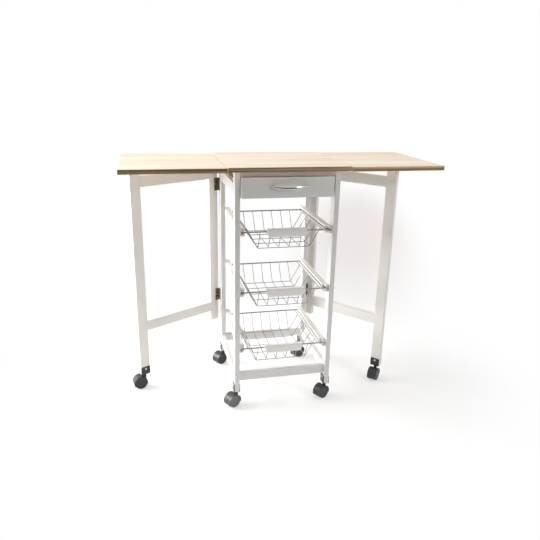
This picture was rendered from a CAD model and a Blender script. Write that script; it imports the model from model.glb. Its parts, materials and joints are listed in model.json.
# %% [markdown]
# A kitchen trolley, dressed. The real one is a narrow white frame of flat posts with a
# light oak worktop whose two leaves rest on swing-out gate legs. A mechanical model of it
# already exists, with every piece at its real size. This lesson loads that model, lights
# it, gives every surface its finish, and adds the round wires, the basket grips, the bow
# handle, the pegs and the screws as surfaces worked out with numpy.

# %% The frame to dress
import json
import math

import bpy
import numpy as np
from mathutils import Matrix, Vector


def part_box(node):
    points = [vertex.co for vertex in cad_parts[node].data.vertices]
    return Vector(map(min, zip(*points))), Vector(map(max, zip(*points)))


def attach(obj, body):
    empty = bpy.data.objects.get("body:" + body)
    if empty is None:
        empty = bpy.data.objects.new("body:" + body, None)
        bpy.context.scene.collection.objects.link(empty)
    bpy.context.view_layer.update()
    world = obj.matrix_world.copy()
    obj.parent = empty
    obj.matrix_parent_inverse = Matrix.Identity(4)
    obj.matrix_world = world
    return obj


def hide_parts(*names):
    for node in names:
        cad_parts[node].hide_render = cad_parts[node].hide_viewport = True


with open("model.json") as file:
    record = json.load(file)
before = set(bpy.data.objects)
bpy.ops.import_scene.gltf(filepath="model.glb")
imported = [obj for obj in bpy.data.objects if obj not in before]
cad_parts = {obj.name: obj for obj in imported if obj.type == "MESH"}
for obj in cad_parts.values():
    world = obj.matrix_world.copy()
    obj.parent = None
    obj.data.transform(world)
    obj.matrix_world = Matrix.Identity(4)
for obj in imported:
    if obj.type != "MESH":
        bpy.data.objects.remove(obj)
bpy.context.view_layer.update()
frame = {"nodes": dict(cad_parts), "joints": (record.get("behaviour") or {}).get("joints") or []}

nodes = frame["nodes"]

# %% [markdown]
# Places are written in millimetres from the middle of the centre board, on the floor,
# because that is how a drawing of the trolley gives them. Wherever a new piece has to meet
# one of the frame's, its place is read from that piece's own box, and where it sits on a
# swinging part, from the joint that the part turns on.

# %% Places on the drawing
mm = 0.001
board_low, board_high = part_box("centre_board")
middle_x = (board_low[0] + board_high[0]) / 2
middle_y = (board_low[1] + board_high[1]) / 2
drawing_origin = np.array([middle_x, middle_y, 0.0])


def box_mm(node):
    """Low and high corners of a node's box on the drawing."""
    return tuple((np.array(corner) - drawing_origin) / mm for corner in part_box(node))


def middle_mm(node):
    """Middle of a node's box on the drawing."""
    return sum(box_mm(node)) / 2


joints = {joint["name"]: joint for joint in frame["joints"]}


def pin_mm(joint):
    """Middle of a hinge joint's pin on the drawing."""
    return (np.array(joints[joint]["pos_m"]) - drawing_origin) / mm


print("board:", np.round(board_high[0] - board_low[0], 3), "m wide")

# %% [markdown]
# The camera stands where the photograph was taken from: a little left of the trolley, at
# about 1.1 m above the floor, looking down at it. Four numbers say where it looks: the yaw
# to the right, the pitch downwards, a slight roll, and the lens. A rotation matrix with the
# camera's right, up and backward directions as its columns turns them into a camera.

# %% Camera
camera_place = (-0.4519, -1.8668, 1.0989)
yaw = 0.2314
pitch = 0.3259
roll = 0.0218
lens_mm = 36.54

ahead = np.array([math.sin(yaw) * math.cos(pitch), math.cos(yaw) * math.cos(pitch), -math.sin(pitch)])
level_right = np.array([math.cos(yaw), -math.sin(yaw), 0.0])
level_up = np.cross(level_right, ahead)
right = math.cos(roll) * level_right + math.sin(roll) * level_up
up = math.cos(roll) * level_up - math.sin(roll) * level_right

camera_data = bpy.data.cameras.new("camera")
camera_data.sensor_width = 36.0
camera_data.lens = lens_mm
camera = bpy.data.objects.new("camera", camera_data)
turn = Matrix(np.array([right, up, -ahead]).T.tolist()).to_4x4()
camera.matrix_world = Matrix.Translation(camera_place) @ turn
bpy.context.collection.objects.link(camera)
bpy.context.scene.camera = camera
bpy.context.scene.view_settings.view_transform = "Standard"
print("the camera looks", np.round(ahead, 2))

# %% [markdown]
# The light is that of a white studio. A large soft lamp behind the trolley on the left does
# most of the work, so the left faces of the white posts are bright and the faces towards
# the camera go pale grey. A weaker one hangs above, and a small one in front on the right
# puts a glint on the bright metal.

# %% Light
def soft_lamp(name, place, target, size, power):
    """Square area lamp at a place, turned to face a target point."""
    data = bpy.data.lights.new(name, "AREA")
    data.size = size
    data.energy = power
    lamp = bpy.data.objects.new(name, data)
    back = (Vector(place) - Vector(target)).normalized()
    lamp.matrix_world = Matrix.Translation(place) @ back.to_track_quat("Z", "Y").to_matrix().to_4x4()
    bpy.context.collection.objects.link(lamp)
    return lamp


soft_lamp("lamp_left", place=(-2.7, 0.85, 1.3), target=(0.0, 0.0, 0.5), size=2.0, power=135.0)
soft_lamp("lamp_above", place=(-1.6, 0.4, 3.1), target=(0.0, 0.0, 0.5), size=2.0, power=25.0)
soft_lamp("lamp_front", place=(1.5, -1.5, 1.3), target=(0.15, 0.0, 0.65), size=0.6, power=12.0)
print("lamps:", len(bpy.data.lights))

# %% [markdown]
# The world, the floor and every finish are small networks of nodes. Wiring them by hand
# would take most of this lesson, so a few helpers come first. Each adds one node, feeds it
# with numbers or with other nodes' outputs, and returns its own output.

# %% Node helpers
def feed(tree, socket, value):
    """Gives an input a number, a colour, or the output of another node."""
    if isinstance(value, float):
        socket.default_value = value
    elif isinstance(value, tuple):
        socket.default_value = (*value, 1.0)
    else:
        tree.links.new(value, socket)


def math_of(tree, operation, first, second=0.0):
    """One Math node on two values."""
    made = tree.nodes.new("ShaderNodeMath")
    made.operation = operation
    feed(tree, made.inputs[0], first)
    feed(tree, made.inputs[1], second)
    return made.outputs[0]


def mix_values(tree, share, first, second):
    """first where the share is 0, second where it is 1."""
    made = tree.nodes.new("ShaderNodeMix")
    feed(tree, made.inputs["Factor"], share)
    feed(tree, made.inputs["A"], first)
    feed(tree, made.inputs["B"], second)
    return made.outputs["Result"]


def blend_colour(tree, share, first, second):
    """The same for two colours."""
    made = tree.nodes.new("ShaderNodeMix")
    made.data_type = "RGBA"
    feed(tree, made.inputs["Factor"], share)
    feed(tree, made.inputs["A"], first)
    feed(tree, made.inputs["B"], second)
    return made.outputs["Result"]


def remap(tree, value, low, high, out_low=0.0, out_high=1.0):
    """Value moved from one range to another, clamped."""
    made = tree.nodes.new("ShaderNodeMapRange")
    feed(tree, made.inputs["Value"], value)
    feed(tree, made.inputs["From Min"], low)
    feed(tree, made.inputs["From Max"], high)
    feed(tree, made.inputs["To Min"], out_low)
    feed(tree, made.inputs["To Max"], out_high)
    return made.outputs[0]


def smooth_share(tree, value, low, high):
    """Share that grows smoothly from 0 to 1 as a value goes from low to high."""
    share = remap(tree, value, low, high)
    share.node.interpolation_type = "SMOOTHSTEP"
    return share


def length_of(tree, vector):
    """Length of a vector."""
    made = tree.nodes.new("ShaderNodeVectorMath")
    made.operation = "LENGTH"
    feed(tree, made.inputs[0], vector)
    return made.outputs["Value"]


def axes_of(tree, kind):
    """X, Y and Z of one kind of texture coordinate: Object, Normal or Generated."""
    coordinates = tree.nodes.new("ShaderNodeTexCoord")
    parts = tree.nodes.new("ShaderNodeSeparateXYZ")
    feed(tree, parts.inputs[0], coordinates.outputs[kind])
    return parts.outputs


def seen_directly(tree):
    """Value that is 1 for camera, glossy and transmission rays and 0 for the rest."""
    path = tree.nodes.new("ShaderNodeLightPath")
    first = math_of(tree, "MAXIMUM", path.outputs["Is Camera Ray"], path.outputs["Is Glossy Ray"])
    return math_of(tree, "MAXIMUM", first, path.outputs["Is Transmission Ray"])


# %% [markdown]
# The world is a white wall behind and beside the trolley and a dim room behind the camera.
# To the camera, to mirrors and through glass it looks white, save for a dark band about the
# horizon that mirrors show on the room's side: the Light Path node tells those rays from the
# ones that light the trolley. The band gives the bright metal its dark lines.

# %% World
wall_fill, room_fill = 0.85, 0.0
room_dark = 0.06
wall_end, room_start = 0.1, -0.7
band_end = -0.2
band_top, band_full = 0.55, 0.2


def light_world():
    """White wall behind and beside the trolley, dim room behind the camera, towards -Y.
    The wall lights the trolley. Seen directly everything is white, but mirrors show the
    room as a dark band about the horizon."""
    world = bpy.data.worlds.new("studio")
    world.use_nodes = True
    tree = world.node_tree
    background = tree.nodes["Background"]
    background.inputs["Color"].default_value = (1.0, 1.0, 1.0, 1.0)
    towards = axes_of(tree, "Generated")
    fill = mix_values(tree, smooth_share(tree, towards["Y"], wall_end, room_start), wall_fill, room_fill)
    band = math_of(tree, "MULTIPLY", smooth_share(tree, towards["Y"], band_end, room_start),
                   smooth_share(tree, towards["Z"], band_top, band_full))
    path = tree.nodes.new("ShaderNodeLightPath")
    mirrored = math_of(tree, "MULTIPLY", band, path.outputs["Is Glossy Ray"])
    direct = mix_values(tree, mirrored, 1.0, room_dark)
    feed(tree, background.inputs["Strength"], mix_values(tree, seen_directly(tree), fill, direct))
    bpy.context.scene.world = world
    print("world nodes:", len(tree.nodes))


light_world()

# %% [markdown]
# The floor is one large square sheet. Near the trolley it is a white studio floor, which
# takes the soft shadows and throws light back up on the lower parts of the frame. Further
# out it fades, for the camera and for mirrors, into the even white of the background, and
# for all other rays it turns grey, so the upper parts get less light from below. Each fade
# is a function of the distance from the middle of the trolley. The white is a little darker
# and pinker in an oval behind on the right, and mirrors see it dark in front, like the room.

# %% Floor
floor_half = 9.0
near_paint = (0.93, 0.925, 0.92)
far_paint = (0.3, 0.3, 0.3)
grey_near, grey_far = 0.8, 2.2
bounce_level = 0.14
bounce_near, bounce_far = 0.3, 0.8
near_white = 0.4
glow_near, glow_far = 0.5, 1.1
oval_place = (1.2, 2.2, 0.0)
oval_turn = math.radians(68.5)
oval_size = (2.2, 0.5, 1.0)
oval_inside, oval_outside = 0.3, 1.2
oval_white = (0.85, 0.81, 0.795)
plain_white = (1.0, 1.0, 1.0)
front_near, front_far = -0.8, -1.5


def in_oval(tree, place):
    """Distance from the oval's middle, 1 on its edge."""
    made = tree.nodes.new("ShaderNodeMapping")
    made.vector_type = "TEXTURE"
    made.inputs["Location"].default_value = oval_place
    made.inputs["Rotation"].default_value = (0.0, 0.0, oval_turn)
    made.inputs["Scale"].default_value = oval_size
    feed(tree, made.inputs["Vector"], place)
    return length_of(tree, made.outputs[0])


def floor_paint():
    """Lit floor that turns into a white of its own: a mix, so it is never over white."""
    paint = bpy.data.materials.new("floor_white")
    paint.use_nodes = True
    tree = paint.node_tree
    surface = tree.nodes["Principled BSDF"]
    surface.inputs["Roughness"].default_value = 0.9
    surface.inputs["Specular IOR Level"].default_value = 0.0
    place = tree.nodes.new("ShaderNodeTexCoord").outputs["Object"]
    distance = length_of(tree, place)
    far = smooth_share(tree, distance, grey_near, grey_far)
    feed(tree, surface.inputs["Base Color"], blend_colour(tree, far, near_paint, far_paint))
    thrown = tree.nodes.new("ShaderNodeEmission")
    bounce = smooth_share(tree, distance, bounce_far, bounce_near)
    feed(tree, thrown.inputs["Strength"], math_of(tree, "MULTIPLY", bounce, bounce_level))
    lit = tree.nodes.new("ShaderNodeAddShader")
    feed(tree, lit.inputs[0], surface.outputs[0])
    feed(tree, lit.inputs[1], thrown.outputs[0])
    white = tree.nodes.new("ShaderNodeEmission")
    dim = smooth_share(tree, in_oval(tree, place), oval_outside, oval_inside)
    feed(tree, white.inputs["Color"], blend_colour(tree, dim, plain_white, oval_white))
    path = tree.nodes.new("ShaderNodeLightPath")
    room = math_of(tree, "MULTIPLY", smooth_share(tree, axes_of(tree, "Object")["Y"], front_near, front_far),
                   path.outputs["Is Glossy Ray"])
    feed(tree, white.inputs["Strength"], mix_values(tree, room, 1.0, room_dark))
    whiteness = mix_values(tree, smooth_share(tree, distance, glow_near, glow_far), near_white, 1.0)
    both = tree.nodes.new("ShaderNodeMixShader")
    feed(tree, both.inputs[0], math_of(tree, "MULTIPLY", seen_directly(tree), whiteness))
    feed(tree, both.inputs[1], lit.outputs[0])
    feed(tree, both.inputs[2], white.outputs[0])
    feed(tree, tree.nodes["Material Output"].inputs["Surface"], both.outputs[0])
    return paint


def pale_floor():
    """The sheet itself, at the height of the wheels' lowest points."""
    corners = [(x * floor_half, y * floor_half, 0.0) for x, y in ((-1, -1), (1, -1), (1, 1), (-1, 1))]
    mesh = bpy.data.meshes.new("floor")
    mesh.from_pydata(corners, [], [(0, 1, 2, 3)])
    mesh.materials.append(floor_paint())
    floor = bpy.data.objects.new("floor", mesh)
    bpy.context.collection.objects.link(floor)
    print("floor:", 2 * floor_half, "m square")


pale_floor()

# %% [markdown]
# Most finishes here share one recipe: a colour, a roughness, and a fine bump. A small
# helper makes the material and its Principled surface, and another adds noise that can be
# stretched along the grain. The noise reads Object coordinates. Every piece of the trolley
# has its object at the origin, so those coordinates are its real place in metres. Colours
# are written as a screen shows them, and one more helper turns them into amounts of light.

# %% Finish helpers
def srgb(red, green, blue):
    """Linear colour of three screen values from 0 to 255."""
    share = np.array([red, green, blue]) / 255.0
    linear = np.where(share <= 0.04045, share / 12.92, ((share + 0.055) / 1.055) ** 2.4)
    return tuple(float(v) for v in linear)


def finish_of(name, colour, roughness, metallic=0.0):
    """New material with a Principled surface; returns the material, its tree and surface."""
    made = bpy.data.materials.new(name)
    made.use_nodes = True
    surface = made.node_tree.nodes["Principled BSDF"]
    feed(made.node_tree, surface.inputs["Base Color"], colour)
    feed(made.node_tree, surface.inputs["Roughness"], roughness)
    feed(made.node_tree, surface.inputs["Metallic"], metallic)
    return made, made.node_tree, surface


def along_axis(axis, across, along):
    """Stretch of a grain: one scale across it on two axes, another along the third."""
    stretch = [across, across, across]
    stretch[axis] = along
    return tuple(stretch)


def noise(tree, scale, detail, roughness=0.5, distortion=0.0,
          stretch=(1.0, 1.0, 1.0), offset=(0.0, 0.0, 0.0)):
    """Noise on Object coordinates that are stretched and moved first."""
    coordinates = tree.nodes.new("ShaderNodeTexCoord")
    mapping = tree.nodes.new("ShaderNodeMapping")
    mapping.inputs["Scale"].default_value = stretch
    mapping.inputs["Location"].default_value = offset
    feed(tree, mapping.inputs["Vector"], coordinates.outputs["Object"])
    made = tree.nodes.new("ShaderNodeTexNoise")
    feed(tree, made.inputs["Vector"], mapping.outputs["Vector"])
    feed(tree, made.inputs["Scale"], scale)
    feed(tree, made.inputs["Detail"], detail)
    feed(tree, made.inputs["Roughness"], roughness)
    feed(tree, made.inputs["Distortion"], distortion)
    return made.outputs["Fac"]


def bump(tree, surface, height, depth, strength):
    """Fine relief of a depth in metres on the surface."""
    made = tree.nodes.new("ShaderNodeBump")
    feed(tree, made.inputs["Height"], height)
    feed(tree, made.inputs["Distance"], depth)
    feed(tree, made.inputs["Strength"], strength)
    feed(tree, surface.inputs["Normal"], made.outputs["Normal"])


print("half-way grey on a screen is", round(srgb(128, 128, 128)[0], 3), "of the white's light")

# %% [markdown]
# The boards wear a light oak laminate. Its grain runs from side to side: long pale bands,
# thin darker lines between them, and short pores. Three noises, stretched along X by
# different amounts, give the three. The long edges wear a browner strip of the same print,
# and the short edges a pale one, so the material looks at the surface's own direction.

# %% Oak laminate
oak_light = srgb(240, 226, 203)
oak_warm = srgb(224, 202, 172)
oak_line = srgb(190, 163, 130)
oak_end = srgb(232, 214, 188)
oak_edge_light = np.array([168, 145, 112])
oak_edge_dark = np.array([112, 89, 60])


def oak_laminate(name, offset, edge_tone):
    """Oak print; the offset moves the pattern, the edge tone lightens the long edges."""
    made, tree, surface = finish_of(name, oak_light, 0.42)
    bands = noise(tree, scale=1.6, detail=5.0, roughness=0.55, distortion=0.35,
                  stretch=along_axis(0, across=9.0, along=0.9), offset=offset)
    lines = noise(tree, scale=1.5, detail=4.0, roughness=0.6, distortion=0.2,
                  stretch=along_axis(0, across=52.0, along=1.1), offset=offset)
    pores = noise(tree, scale=1.0, detail=2.0, stretch=along_axis(0, across=330.0, along=9.0), offset=offset)
    pale = blend_colour(tree, remap(tree, bands, 0.35, 0.68), oak_light, oak_warm)
    lined = blend_colour(tree, remap(tree, lines, 0.56, 0.74, 0.0, 0.55), pale, oak_line)
    top = blend_colour(tree, remap(tree, pores, 0.62, 0.76, 0.0, 0.22), lined, oak_line)
    long_edge = blend_colour(tree, remap(tree, lines, 0.42, 0.6),
                             srgb(*(edge_tone * oak_edge_light)), srgb(*(edge_tone * oak_edge_dark)))
    facing = axes_of(tree, "Normal")
    sideways = remap(tree, math_of(tree, "ABSOLUTE", facing["X"]), 0.5, 0.8)
    level = remap(tree, math_of(tree, "ABSOLUTE", facing["Z"]), 0.6, 0.9)
    edge = blend_colour(tree, sideways, long_edge, oak_end)
    feed(tree, surface.inputs["Base Color"], blend_colour(tree, level, edge, top))
    feed(tree, surface.inputs["Roughness"], remap(tree, lines, 0.3, 0.8, 0.38, 0.52))
    bump(tree, surface, pores, depth=0.00006, strength=0.5)
    return made


# %% [markdown]
# The posts, rails, gates and the drawer front are wood under thick satin white paint.
# Close by, the paint keeps a trace of the grain and of the roller: a shallow stretched noise
# for one and a fine even one for the other. The warm white darkens a touch in blotches
# that no one would notice alone but that take the flatness off. The rail above the drawer
# is a shade browner, and in the basket rails the bottom of the groove is bare dark wood.

# %% White paint
groove_past_mouth = 0.0035
groove_blend = 0.0005


def white_paint(name, along, bright=srgb(236, 234, 232), worn=srgb(229, 227, 224)):
    """Satin white paint; along is the grain's axis, 0, 1 or 2."""
    made, tree, surface = finish_of(name, bright, 0.38)
    grain = noise(tree, scale=5.0, detail=3.0, roughness=0.55, stretch=along_axis(along, 26.0, 1.4))
    roller = noise(tree, scale=900.0, detail=2.0)
    cloud = noise(tree, scale=5.0, detail=2.0)
    feed(tree, surface.inputs["Base Color"], blend_colour(tree, remap(tree, cloud, 0.3, 0.7), bright, worn))
    feed(tree, surface.inputs["Roughness"], remap(tree, grain, 0.3, 0.7, 0.32, 0.46))
    height = math_of(tree, "ADD", grain, math_of(tree, "MULTIPLY", roller, 0.35))
    bump(tree, surface, height, depth=0.00012, strength=0.35)
    return made


def grooved_paint():
    """White paint, but bare wood on what faces the trolley's middle plane and lies deeper
    in the rail than the groove's mouth."""
    made = white_paint("white_paint_grooved", 1)
    tree = made.node_tree
    colour = tree.nodes["Principled BSDF"].inputs["Base Color"]
    start = float(box_mm("right_basket_rails")[0][0] * mm) + groove_past_mouth
    away = math_of(tree, "SUBTRACT", axes_of(tree, "Object")["X"], float(middle_x))
    inward = math_of(tree, "MULTIPLY", axes_of(tree, "Normal")["X"], math_of(tree, "SIGN", away))
    deep = remap(tree, math_of(tree, "ABSOLUTE", away), start, start + groove_blend)
    cut = math_of(tree, "MULTIPLY", remap(tree, inward, -0.5, -0.8), deep)
    feed(tree, colour, blend_colour(tree, cut, colour.links[0].from_socket, srgb(62, 42, 33)))
    return made


# %% [markdown]
# Inside the drawer the wood is bare and brown, and its bottom is a thin pressed board. The
# same stretched noise does both, with more contrast for the solid wood.

# %% Bare wood
def bare_wood(name, along, light, dark, roughness=0.6):
    """Unpainted wood or board; along is the grain's axis."""
    made, tree, surface = finish_of(name, light, roughness)
    grain = noise(tree, scale=2.0, detail=6.0, roughness=0.6, distortion=0.6,
                  stretch=along_axis(along, 60.0, 2.0))
    feed(tree, surface.inputs["Base Color"], blend_colour(tree, remap(tree, grain, 0.35, 0.7), light, dark))
    bump(tree, surface, grain, depth=0.0001, strength=0.4)
    return made


# %% [markdown]
# Metals and plastics are simpler. Plated metal has a smooth skin, a little uneven in gloss,
# and the zinc of the hinges is mottled. The pale clips and grips and the dark casters are
# moulded, so they carry a fine even grain and a little dust. One caster, the front left one,
# is of a lighter grey than the others.

# %% Metals and plastics
def plated_metal(name, colour, roughness, metallic=1.0, dull=None):
    """Plated metal; a dull colour, if there is one, mottles the plating."""
    made, tree, surface = finish_of(name, colour, roughness, metallic)
    skin = noise(tree, scale=420.0, detail=3.0, roughness=0.6)
    if dull:
        mottle = remap(tree, noise(tree, scale=260.0, detail=3.0, roughness=0.65), 0.4, 0.6)
        feed(tree, surface.inputs["Base Color"], blend_colour(tree, mottle, colour, dull))
    feed(tree, surface.inputs["Roughness"], remap(tree, skin, 0.3, 0.7, roughness * 0.75, roughness * 1.35))
    bump(tree, surface, skin, depth=0.0001, strength=0.15)
    return made


def moulded_plastic(name, colour, worn, roughness):
    """Plastic with a fine grain; dust turns it towards the worn colour in blotches."""
    made, tree, surface = finish_of(name, colour, roughness)
    skin = noise(tree, scale=1400.0, detail=2.0)
    dust = noise(tree, scale=60.0, detail=4.0, roughness=0.6)
    feed(tree, surface.inputs["Base Color"], blend_colour(tree, remap(tree, dust, 0.45, 0.8), colour, worn))
    feed(tree, surface.inputs["Roughness"], remap(tree, dust, 0.3, 0.8, roughness * 0.85, roughness * 1.2))
    bump(tree, surface, skin, depth=0.00004, strength=0.5)
    return made


# %% [markdown]
# Now every finish but the boards' is made once, under a short name. Painted pieces share
# one white, save the gates, which are a little brighter, and the rail above the drawer. The
# letter at the end of a paint's name is the axis that its grain runs along, as it does in
# the real stick.

# %% List of finishes
gate_white = {"bright": srgb(240, 236, 232), "worn": srgb(234, 230, 225)}
shaded_white = {"bright": srgb(219, 208, 200), "worn": srgb(211, 199, 190)}
pine = {"light": srgb(222, 201, 158), "dark": srgb(196, 171, 127)}
pressed = {"light": srgb(210, 196, 174), "dark": srgb(194, 178, 154), "roughness": 0.7}

finishes = {
    "paint_x": white_paint("white_paint_x", 0),
    "paint_y": white_paint("white_paint_y", 1),
    "paint_z": white_paint("white_paint_z", 2),
    "shaded": white_paint("white_paint_shaded", 0, **shaded_white),
    "gate_x": white_paint("gate_paint_x", 0, **gate_white),
    "gate_z": white_paint("gate_paint_z", 2, **gate_white),
    "grooved": grooved_paint(),
    "drawer_wood": bare_wood("drawer_side_wood", 1, **pine),
    "drawer_back": bare_wood("drawer_back_wood", 0, **pine),
    "hardboard": bare_wood("drawer_bottom_board", 0, **pressed),
    "wire": plated_metal("plated_wire", srgb(152, 150, 147), 0.3, metallic=0.5),
    "handle": plated_metal("handle_chrome", srgb(208, 207, 205), 0.18),
    "hinge": plated_metal("hinge_zinc", srgb(172, 166, 142), 0.38, dull=srgb(102, 97, 79)),
    "bracket": plated_metal("bracket_black_steel", srgb(74, 70, 67), 0.34),
    "screw": plated_metal("screw_zinc", srgb(205, 203, 198), 0.3),
    "clip": moulded_plastic("clip_pale_plastic", srgb(226, 223, 219), srgb(218, 215, 211), 0.5),
    "grip": moulded_plastic("grip_white_plastic", srgb(246, 243, 239), srgb(249, 247, 244), 0.4),
    "hood": moulded_plastic("caster_black_plastic", srgb(46, 46, 48), srgb(58, 58, 59), 0.36),
    "wheel": moulded_plastic("wheel_charcoal", srgb(42, 42, 44), srgb(56, 56, 57), 0.42),
    "grey_hood": moulded_plastic("caster_grey_plastic", srgb(73, 72, 72), srgb(86, 85, 85), 0.4),
    "grey_wheel": moulded_plastic("wheel_grey", srgb(111, 109, 108), srgb(124, 122, 121), 0.42),
    "peg": moulded_plastic("peg_black_plastic", srgb(28, 26, 25), srgb(36, 34, 33), 0.5),
}
print("finishes:", len(finishes))

# %% [markdown]
# Each piece of the frame now gets its finish. The three boards differ only in where their
# print starts and in the tone of their edges. For the others, the end of a piece's name
# says what it is, and where two words fit, the longer one decides.

# %% Finishes on the frame's own pieces
def wear(node, material):
    """The node's only material becomes the given one."""
    slots = nodes[node].data.materials
    slots.clear()
    slots.append(material)


board_edges = {"centre_board": 1.15, "left_leaf": 1.12, "right_leaf": 1.3}
for number, (board, edge_tone) in enumerate(board_edges.items()):
    wear(board, oak_laminate("oak_laminate_" + board, (0.0, 0.37 * number, 0.21 * number), edge_tone))

finish_words = {
    "paint_x": ("front_lower_rail", "back_top_rail", "back_lower_rail", "drawer_front"),
    "paint_y": ("left_top_rail", "right_top_rail", "left_lower_rail", "right_lower_rail"),
    "paint_z": ("post",),
    "shaded": ("front_top_rail",),
    "gate_x": ("gate_top_rail", "gate_lower_rail"),
    "gate_z": ("gate_leg", "gate_hinge_post"),
    "grooved": ("basket_rails",),
    "drawer_wood": ("drawer_left_side", "drawer_right_side", "drawer_runners"),
    "drawer_back": ("drawer_back",),
    "hardboard": ("drawer_bottom",),
    "wire": ("basket",),
    "handle": ("drawer_handle",),
    "hinge": ("hinges", "hinge_bases"),
    "bracket": ("bracket", "brackets"),
    "clip": ("clips",),
    "grip": ("grip",),
    "hood": ("hood",),
    "wheel": ("wheels",),
    "grey_hood": ("front_left_hood",),
    "grey_wheel": ("front_left_wheels",),
}


def finish_for(node):
    """Finish whose longest matching word ends the node's name."""
    found = [(len(word), key) for key, words in finish_words.items() for word in words
             if node.endswith(word)]
    return finishes[max(found)[1]]


for node in nodes:
    if node not in board_edges:
        wear(node, finish_for(node))
print("pieces with a finish:", len(nodes))

# %% [markdown]
# The wires, the handle, the screws and other small round pieces are surfaces worked out
# with numpy. Each is a grid of points, a function of two parameters. A builder collects
# such grids for one piece, and makes one mesh of them, so a basket of fifteen wires is one
# object. Every grid closes round on itself and has a face over each end, so each piece is
# a closed skin.

# %% Mesh builder
sharp_angle = math.radians(35.0)


class Surfaces:
    """Grids of points, in millimetres, that together make one piece."""

    def __init__(self):
        self.points = []
        self.faces = []
        self.count = 0

    def grid(self, rows):
        """Grid of shape (rows, columns, 3); columns close on themselves, ends get one face."""
        height, width = rows.shape[:2]
        index = self.count + np.arange(height * width).reshape(height, width)
        right = np.roll(index, -1, axis=1)
        quads = np.stack([index[:-1], right[:-1], right[1:], index[1:]], axis=-1).reshape(-1, 4)
        self.faces += quads.tolist() + [index[0, ::-1].tolist(), index[-1].tolist()]
        self.points.append(rows.reshape(-1, 3))
        self.count += height * width

    def piece(self, name, body, material, replaces=()):
        """Object at the origin with its place in its mesh, riding on a body."""
        points = np.concatenate(self.points) * mm + drawing_origin
        mesh = bpy.data.meshes.new(name)
        mesh.from_pydata(points.tolist(), [], self.faces)
        mesh.polygons.foreach_set("use_smooth", np.ones(len(mesh.polygons), dtype=bool))
        mesh.set_sharp_from_angle(angle=sharp_angle)
        mesh.materials.append(material)
        made = bpy.data.objects.new(name, mesh)
        bpy.context.collection.objects.link(made)
        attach(made, body)
        if replaces:
            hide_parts(*replaces)
        print(name, "has", len(self.faces), "faces")
        return made


# %% [markdown]
# A wire is a circle carried along a path. Where the real wire is bent over a former, the
# path has an arc, so first a list of corners becomes a path with round corners. Each wire
# here lies in one plane, so one direction of its section is the plane's normal all along,
# and the section can't twist.

# %% Paths and tubes
def unit(vector):
    """Vector, or each row of an array, at length 1."""
    return vector / np.linalg.norm(vector, axis=-1, keepdims=True)


def rounded(corners, radius, steps=8):
    """Path through corners in space, each inner one replaced by an arc of the radius:
    centre + radius * (cos a * u + sin a * v), where u and v span the corner's plane."""
    corners = np.array(corners, dtype=float)
    path = [corners[0]]
    for before, here, after in zip(corners[:-2], corners[1:-1], corners[2:]):
        back, on = unit(before - here), unit(after - here)
        half = math.acos(float(np.clip(back @ on, -1, 1))) / 2
        centre = here + unit(back + on) * radius / math.sin(half)
        start = unit(here + back * radius / math.tan(half) - centre)
        side = unit(on - (on @ start) * start)
        angles = np.linspace(0, math.pi - 2 * half, steps + 1)[:, None]
        path.extend(centre + radius * (np.cos(angles) * start + np.sin(angles) * side))
    path.append(corners[-1])
    return np.array(path)


def tube(path, normal, width, height=None, sides=12, dome=True):
    """Ellipse carried along a path in the plane with the given normal. A point is
    path(u) + width(u) / 2 * cos v * side(u) + height(u) / 2 * sin v * normal. Domed ends
    shrink the ellipse as cos w while they move out as sin w times its half width."""
    path = np.array(path, dtype=float)
    width = np.broadcast_to(np.asarray(width, dtype=float), len(path)).copy()
    height = width if height is None else np.broadcast_to(np.asarray(height, dtype=float), len(path)).copy()
    steps = unit(np.diff(path, axis=0))
    along = unit(np.vstack([steps[:1], steps[:-1] + steps[1:], steps[-1:]]))
    stretch = np.ones(len(path))
    stretch[1:-1] = 1 / np.einsum("ij,ij->i", along[1:-1], steps[:-1])
    normal = unit(np.array(normal, dtype=float))
    side = unit(np.cross(normal, along))
    if dome:
        w = np.radians([88.0, 60.0, 30.0])
        first = path[0] - along[0] * np.sin(w)[:, None] * width[0] / 2
        last = path[-1] + along[-1] * np.sin(w[::-1])[:, None] * width[-1] / 2
        shrink = np.cos(w)
        path = np.vstack([first, path, last])
        width = np.concatenate([width[0] * shrink, width, width[-1] * shrink[::-1]])
        height = np.concatenate([height[0] * shrink, height, height[-1] * shrink[::-1]])
        stretch = np.concatenate([np.ones(len(w)), stretch, np.ones(len(w))])
        side = np.vstack([side[:1]] * len(w) + [side] + [side[-1:]] * len(w))
    v = np.linspace(0, 2 * math.pi, sides, endpoint=False)
    across = (width / 2 * stretch)[:, None, None] * np.cos(v)[None, :, None] * side[:, None, :]
    upward = (height / 2)[:, None, None] * np.sin(v)[None, :, None] * normal
    return path[:, None, :] + across + upward


# %% [markdown]
# A basket is a frame of four rim wires with two sets of lighter wires hung in it. The wires
# across it go down one side, over the floor and up the other. The wires along it lie on
# them and show at the front and back. The front and back rim wires reach past the sides,
# because their ends slide in the grooves of the rails. One basket is made three times.

# %% Baskets
levels = ("bottom", "middle", "top")
basket_low, basket_high = box_mm("top_basket")
rim_d = 5.0
rim_end_inset = 1.2
rim_tip_x = basket_high[0] - rim_end_inset
front_rim_y = round(basket_low[1] + rim_d / 2, 1)
back_rim_y = round(basket_high[1] - rim_d / 2, 1)
basket_depth = 65.0
side_wire_d = 3.0
side_wire_x = 127.0
wire_d = 2.6
bend_r = 9.0
cross_count = 5
cross_floor_x = 91.0
cross_front_y, cross_back_y = -128.0, 103.0
long_count = 6
long_outer_x = 90.0
long_front_y, long_back_y = -129.0, 104.0
long_lift = 0.9 * wire_d


def rim_level(level):
    """Height of the middle of a basket's rim wires, read from the node's own box."""
    return box_mm(level + "_basket")[1][2] - rim_d / 2


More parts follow.
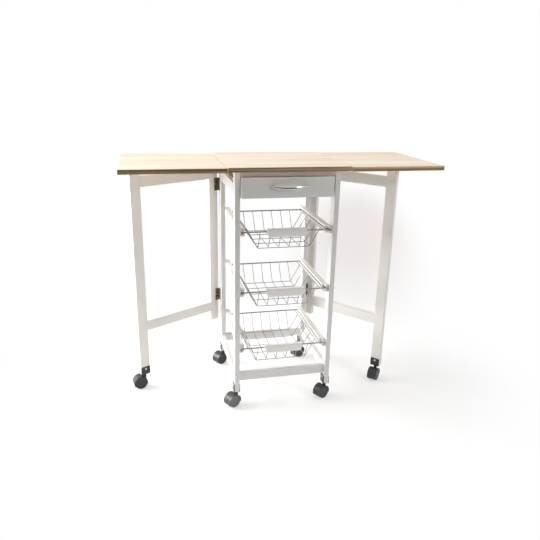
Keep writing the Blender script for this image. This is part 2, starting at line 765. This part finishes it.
def basket(level):
    """Wires of one basket: straight rims, bent wires across, and bent wires along."""
    made = Surfaces()
    rim_z = rim_level(level)
    low_z = rim_z - basket_depth
    long_z = low_z + long_lift
    for y in (front_rim_y, back_rim_y):
        rim = [(x, y, rim_z) for x in (-rim_tip_x, 0, rim_tip_x)]
        made.grid(tube(rim, (0, 0, 1), rim_d, sides=16))
    for x in (-side_wire_x, side_wire_x):
        rim = [(x, y, rim_z) for y in np.linspace(front_rim_y, back_rim_y, 3)]
        made.grid(tube(rim, (0, 0, 1), side_wire_d, dome=False))
    for y in np.linspace(cross_front_y, cross_back_y, cross_count):
        corners = [(-side_wire_x, y, rim_z), (-cross_floor_x, y, low_z),
                   (cross_floor_x, y, low_z), (side_wire_x, y, rim_z)]
        made.grid(tube(rounded(corners, bend_r), (0, 1, 0), wire_d, dome=False))
    for x in np.linspace(-long_outer_x, long_outer_x, long_count):
        corners = [(x, back_rim_y, rim_z), (x, long_back_y, long_z),
                   (x, long_front_y, long_z), (x, front_rim_y, rim_z)]
        made.grid(tube(rounded(corners, bend_r), (1, 0, 0), wire_d, dome=False))
    return made.piece(level + "_basket_wires", "basket_" + level, finishes["wire"],
                      (level + "_basket",))


for level in levels:
    basket(level)

# %% [markdown]
# Each basket is pulled by a long moulded grip that hooks over its front rim. Its section is
# a channel open at the back, with soft corners. Towards the ends the lower edge draws in,
# and the last few millimetres round off, so the ends don't look sawn.

# %% Basket grips
rim_gap = 0.05
end_inset = np.array([0.0, 0.25, 0.9, 2.0])
end_shrink = np.array([0.90, 0.945, 0.985, 1.0])
skirt_lean = 5.0
skirt_height = 16.0
face_r, hook_r, skirt_in_r, skirt_edge_r = 2.6, 0.6, 0.3, 0.9
corner_points = 6


def channel(low, high, rim_z):
    """Closed outline of the grip's section, as (y, z) points: each corner of the hooked
    channel becomes centre - radius * (cos a * on + sin a * back), a quarter circle."""
    face_y, low_z = low[1:]
    back_y, high_z = high[1:]
    skirt_y = front_rim_y - rim_d / 2 - rim_gap
    under_z = rim_z + rim_d / 2 + rim_gap
    outline = [(back_y, under_z, hook_r), (skirt_y, under_z, skirt_in_r), (skirt_y, low_z, skirt_edge_r),
               (face_y, low_z, face_r), (face_y, high_z, face_r), (back_y, high_z, face_r)]
    corners = np.array([(y, z) for y, z, _ in outline])
    points = []
    for i, (_, _, radius) in enumerate(outline):
        before, here, after = corners[i - 1], corners[i], corners[(i + 1) % len(outline)]
        back, on = unit(before - here), unit(after - here)
        centre = here + (back + on) * radius
        angles = np.linspace(0, math.pi / 2, corner_points)[:, None]
        points.extend(centre - radius * (np.cos(angles) * on + np.sin(angles) * back))
    return np.array(points)[::-1]


def basket_grip(level):
    """Channel carried along X. Near an end it shrinks towards its middle, and the lower a
    point lies below the rim, the further it leans in from the end."""
    low, high = box_mm(level + "_basket_grip")
    rim_z = rim_level(level)
    section = channel(low, high, rim_z)
    middle = section.mean(axis=0)
    lean = skirt_lean * np.clip((rim_z - section[:, 1]) / skirt_height, 0, 1)
    x = np.concatenate([low[0] + end_inset, high[0] - end_inset[::-1]])
    shrink = np.concatenate([end_shrink, end_shrink[::-1]])
    inward = np.sign((low[0] + high[0]) / 2 - x)
    yz = middle + (section - middle) * shrink[:, None, None]
    made = Surfaces()
    made.grid(np.concatenate([(x[:, None] + inward[:, None] * lean)[..., None], yz], axis=-1))
    return made.piece(level + "_basket_grip_moulding", "basket_" + level, finishes["grip"],
                      (level + "_basket_grip",))


for level in levels:
    basket_grip(level)

# %% [markdown]
# The drawer's handle is a bright bow: a shallow arc, flattened and widest in the middle,
# with rounded tips, standing on two short feet that flare where they meet the wood.

# %% Drawer handle
handle_x, _, handle_z = middle_mm("drawer_handle")
handle_back = box_mm("drawer_handle")[1][1]
handle_pitch = 106.0
bow_half = handle_pitch / 2 + 5.0
bow_reach = 21.3
bow_sagitta = 17.0
bow_droop = 2.2
bow_width, bow_height = 5.6, 10.4
bow_least_width = 0.6
bow_taper = 0.34
bow_points = 41
foot_depth = [0.0, 0.8, 1.8, 3.2, 6.0]
foot_d = [8.0, 8.0, 6.6, 5.6, 5.2, 5.0]


def bow_handle():
    """Ellipse carried along the bow: at share t of its half length, from -1 to 1, the bow
    stands out by reach - sagitta * t^2, hangs by droop * (1 - t^2), and is as full as
    1 - taper * |t|^2.5. The feet are round tubes from the bow back to the drawer."""
    made = Surfaces()
    t = np.linspace(-1, 1, bow_points)
    bow = np.stack([handle_x + bow_half * t,
                    handle_back - bow_reach + bow_sagitta * t ** 2,
                    handle_z - bow_droop * (1 - t ** 2)], axis=1)
    fullness = 1 - bow_taper * np.abs(t) ** 2.5
    made.grid(tube(bow, (0, 0, 1), bow_width * fullness + bow_least_width, bow_height * fullness, sides=24))
    foot_reach = bow_reach - bow_sagitta * (handle_pitch / 2 / bow_half) ** 2
    for side in (-1, 1):
        x = handle_x + side * handle_pitch / 2
        foot = [(x, handle_back - depth, handle_z) for depth in foot_depth + [foot_reach]]
        made.grid(tube(foot, (0, 0, 1), foot_d, sides=20, dome=False))
    return made.piece("drawer_handle_bow", "drawer", finishes["handle"], ("drawer_handle",))


bow_handle()

# %% [markdown]
# A flat-pack frame is held by screws, and their heads are the only marks on its plain white
# sides. One head is a low dome on a polar grid, with a cross pressed into it. It is made
# once as a function of place, direction and size, and repeated wherever two pieces meet.

# %% Screw heads
ring_shares = np.array([1.0, 0.97, 0.9, 0.78, 0.66, 0.54, 0.42, 0.3, 0.18, 0.06])
cross_turn = 0.4
cross_arm = 0.16
cross_depth = 0.75
cross_length, cross_fade = 0.6, 0.12
head_sides = 32


def screw_head(place, direction, radius=3.4, rise=1.3):
    """Dome of height rise * sqrt(1 - (r / radius)^2), less a cross-shaped dip near the
    middle: the dip is deepest on two crossing lines and dies out towards the rim."""
    direction = unit(np.array(direction, dtype=float))
    guide = np.array([0.0, 0.0, 1.0]) if abs(direction[2]) < 0.9 else np.array([1.0, 0.0, 0.0])
    across = unit(np.cross(guide, direction))
    upward = np.cross(direction, across)
    r = ring_shares[:, None]
    angle = np.linspace(0, 2 * math.pi, head_sides, endpoint=False)[None, :]
    a, b = r * np.cos(angle + cross_turn), r * np.sin(angle + cross_turn)
    arm = np.maximum(np.exp(-(a / cross_arm) ** 2), np.exp(-(b / cross_arm) ** 2))
    dip = cross_depth * arm * np.clip((cross_length - r) / cross_fade, 0, 1)
    height = rise * (np.sqrt(1 - r ** 2) - dip)
    flat = (r * np.cos(angle))[..., None] * across + (r * np.sin(angle))[..., None] * upward
    return np.array(place, dtype=float) + radius * flat + height[..., None] * direction


print("points in a screw head:", len(ring_shares) * head_sides)

# %% [markdown]
# In the frame a screw goes through a post into the end of each cross rail, at the middle of
# the rail. The caster brackets hold the posts' feet between two cheeks, with a head on the
# outside of each cheek.

# %% Screws of the frame
cross_rails = ("front_top_rail", "front_lower_rail", "back_top_rail", "back_lower_rail")
post_in_x = box_mm("front_right_post")[0][0]
post_out_x = box_mm("front_right_post")[1][0]
cheek_out_x, _, cheek_top_z = box_mm("frame_caster_brackets")[1]
cheek_in_x = post_in_x - (cheek_out_x - post_out_x)
cheek_screw_drop = 8.5
cheek_screw_z = cheek_top_z - cheek_screw_drop
cheek_screw_r = 4.2


def frame_screws():
    """A screw through each post's outer face into the end of each cross rail, and one head
    on each side of each caster's cheeks."""
    made = Surfaces()
    for side in (-1, 1):
        for rail in cross_rails:
            _, y, z = middle_mm(rail)
            made.grid(screw_head((side * post_out_x, y, z), (side, 0, 0)))
        for post in ("front_right_post", "back_right_post"):
            y = middle_mm(post)[1]
            made.grid(screw_head((side * cheek_out_x, y, cheek_screw_z), (side, 0, 0), cheek_screw_r))
            made.grid(screw_head((side * cheek_in_x, y, cheek_screw_z), (-side, 0, 0), cheek_screw_r))
    return made.piece("frame_screws", "frame", finishes["screw"])


frame_screws()

# %% [markdown]
# In the front of each plastic clip, beside the end of the basket's rim wire, a small black
# peg shows. It is round and almost flat, and the pale clip makes it look like a dot.

# %% Pegs of the clips
clip_low, clip_high = box_mm("rail_clips")
peg_inset = 5.5
peg_x = clip_high[0] - peg_inset
peg_r, peg_rise = 2.5, 0.5


def clip_pegs():
    """A dark peg in the front of each clip, beside the end of the rim wire."""
    made = Surfaces()
    for level in levels:
        for side in (-1, 1):
            place = (side * peg_x, clip_low[1], rim_level(level))
            made.grid(screw_head(place, (0, -1, 0), peg_r, peg_rise))
    return made.piece("clip_pegs", "frame", finishes["peg"])


clip_pegs()

# %% [markdown]
# A gate's screws are placed in the gate's own plan: s runs along the gate from its pin, and
# n runs through it, away from the frame when the gate is folded. The gate's angle then turns
# such a place into one on the drawing. The frame's joints give the pin, and how far the gate
# can still fold from where it stands. It stops 14 degrees short of the frame's side.

# %% Screws of the gates
gate_sides = {"left": -1, "right": 1}
gate_stop = 14.0
gate_leg_s = 349.4
gate_cheeks = [(0.0, -1), (21.5, 1)]
hinge_half = 24.0
hinge_screws = [(10.0, -16.0), (12.0, 0.0), (10.0, 16.0)]
hinge_face_n = 0.5
hinge_screw_r, hinge_screw_rise = 2.6, 0.35


def gate_directions(word):
    """Directions along a gate and through it, outwards, at the angle at which it stands."""
    side = gate_sides[word]
    angle = math.radians(gate_stop - joints[f"gate_{word}_swing"]["range_deg"][0])
    along = np.array([side * math.sin(angle), -math.cos(angle), 0.0])
    outward = np.array([side * math.cos(angle), math.sin(angle), 0.0])
    return along, outward


def gate_place(word, s, n, z):
    """Point of a gate: pin + s * along + n * outward in the plan view, at a height z."""
    along, outward = gate_directions(word)
    place = pin_mm(f"gate_{word}_swing") + s * along + n * outward
    return (place[0], place[1], z)


def gate_screws(word):
    """Heads on both sides of the caster's cheeks, and three in each hinge's moving leaf."""
    made = Surfaces()
    outward = gate_directions(word)[1]
    for n, sign in gate_cheeks:
        place = gate_place(word, gate_leg_s, n, cheek_screw_z)
        made.grid(screw_head(place, sign * outward, cheek_screw_r))
    low, high = box_mm(word + "_gate_hinges")
    for middle in (low[2] + hinge_half, high[2] - hinge_half):
        for s, step in hinge_screws:
            place = gate_place(word, s, hinge_face_n, middle + step)
            made.grid(screw_head(place, -outward, hinge_screw_r, hinge_screw_rise))
    return made.piece(word + "_gate_screws", "gate_" + word, finishes["screw"])


for word in gate_sides:
    gate_screws(word)

# %% [markdown]
# Each leaf turns on two small hinges hidden under the joint, and every plate of them is
# held by two screws from below. They ride on whatever their plate rides on: the frame's
# plates stay, and a leaf takes its own along.

# %% Screws of the leaf hinges
leaf_pin_x = pin_mm("leaf_right_lift")[0]
plate_t = 1.2
plate_screw_x = 14.0
plate_half, plate_step = 30.0, 20.0
plate_screw_r, plate_screw_rise = 2.6, 0.4


def leaf_screws(node, body, sides, away):
    """Two low screw heads, facing down, in each plate of a node of hinge plates."""
    made = Surfaces()
    low, high = box_mm(node)
    for side in sides:
        for middle in (low[1] + plate_half, high[1] - plate_half):
            for step in (-plate_step, plate_step):
                place = (side * (leaf_pin_x + away), middle + step, high[2] - plate_t)
                made.grid(screw_head(place, (0, 0, -1), plate_screw_r, plate_screw_rise))
    return made.piece(body + "_hinge_screws", body, finishes["screw"])


leaf_screws("leaf_hinge_bases", "frame", (-1, 1), -plate_screw_x)
leaf_screws("left_leaf_hinges", "leaf_left", (-1,), plate_screw_x)
leaf_screws("right_leaf_hinges", "leaf_right", (1,), plate_screw_x)
